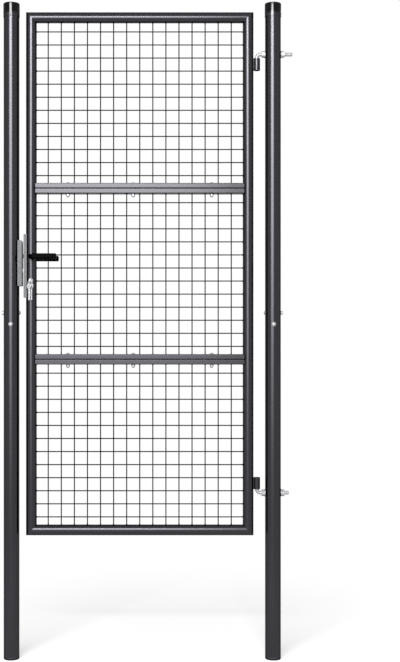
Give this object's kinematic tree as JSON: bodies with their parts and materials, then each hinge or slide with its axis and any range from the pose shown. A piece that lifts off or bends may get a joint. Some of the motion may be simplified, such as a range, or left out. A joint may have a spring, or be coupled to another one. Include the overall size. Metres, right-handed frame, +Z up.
{
  "type": "mesh garden gate",
  "caption": "Tall garden gate of round steel tube with welded wire mesh, hung on hook hinges between round posts, with a lever lock and keys.",
  "frame": {"origin": "middle of the flat face under the hinge post's foot", "axes": "+X to the right seen from the front, away from the leaf; +Y to the back; +Z up along the post"},
  "size_m": [1.1127, 0.139, 2.507],
  "materials": {
    "anthracite_paint": "satin",
    "mesh_paint": "satin",
    "black_plastic": "gloss",
    "zinc": "satin",
    "galvanised_steel": "matte",
    "nickel": "gloss"
  },
  "bodies": {
    "posts": {"hinge_post_lower": "anthracite_paint", "hinge_post_upper": "anthracite_paint", "hinge_post_cap": "black_plastic", "hinge_post_foot": "black_plastic", "latch_post_lower": "anthracite_paint", "latch_post_upper": "anthracite_paint", "latch_post_cap": "black_plastic", "latch_post_foot": "black_plastic", "post_bolts": "zinc", "upper_hinge_hook": "zinc", "lower_hinge_hook": "zinc", "hook_nuts": "zinc", "keeper": "galvanised_steel", "keeper_bolts": "zinc"},
    "leaf": {"top_rail": "anthracite_paint", "bottom_rail": "anthracite_paint", "hinge_stile_top": "anthracite_paint", "hinge_stile_middle": "anthracite_paint", "hinge_stile_bottom": "anthracite_paint", "latch_stile_top": "anthracite_paint", "latch_stile_middle": "anthracite_paint", "latch_stile_bottom": "anthracite_paint", "upper_crossbar_top_tube": "anthracite_paint", "upper_crossbar_bottom_tube": "anthracite_paint", "lower_crossbar_top_tube": "anthracite_paint", "lower_crossbar_bottom_tube": "anthracite_paint", "crossbar_bolts": "zinc", "top_mesh_panel": "mesh_paint", "middle_mesh_panel": "mesh_paint", "bottom_mesh_panel": "mesh_paint", "upper_hinge_barrel": "anthracite_paint", "lower_hinge_barrel": "anthracite_paint", "lock_fore_end": "galvanised_steel", "lock_case": "galvanised_steel", "lock_cylinder": "nickel"},
    "handle": {"front_lever": "black_plastic", "rear_lever": "black_plastic", "spindle": "zinc"},
    "latch": {"latch_bolt": "zinc"},
    "deadbolt": {"deadbolt": "zinc"},
    "key": {"cylinder_plug": "nickel", "lock_key": "nickel", "key_ring": "nickel", "hanging_keys": "nickel"}
  },
  "joints": [
    {"name": "gate_swing", "type": "hinge", "parent": "posts", "child": "leaf", "pos_m": [-0.0618, 0, 0.6], "axis": [0, 0, 1], "range_deg": [-95, 95]},
    {"name": "handle_turn", "type": "hinge", "parent": "leaf", "child": "handle", "pos_m": [-0.924, 0, 1.535], "axis": [0, 1, 0], "range_deg": [0, 40], "stiffness_Nm_per_rad": 2, "springref_deg": -5.73},
    {"name": "latch_slide", "type": "slide", "parent": "leaf", "child": "latch", "axis": [1, 0, 0], "range_m": [0, 0.0035]},
    {"name": "key_turn", "type": "hinge", "parent": "leaf", "child": "key", "pos_m": [-0.924, 0, 1.445], "axis": [0, 1, 0], "range_deg": [0, 360]},
    {"name": "deadbolt_slide", "type": "slide", "parent": "leaf", "child": "deadbolt", "axis": [-1, 0, 0], "range_m": [0, 0.007]}
  ],
  "couplings": [
    {"joint": "latch_slide", "follows": "handle_turn", "m_per_rad": 0.005},
    {"joint": "deadbolt_slide", "follows": "key_turn", "m_per_rad": 0.001114}
  ]
}
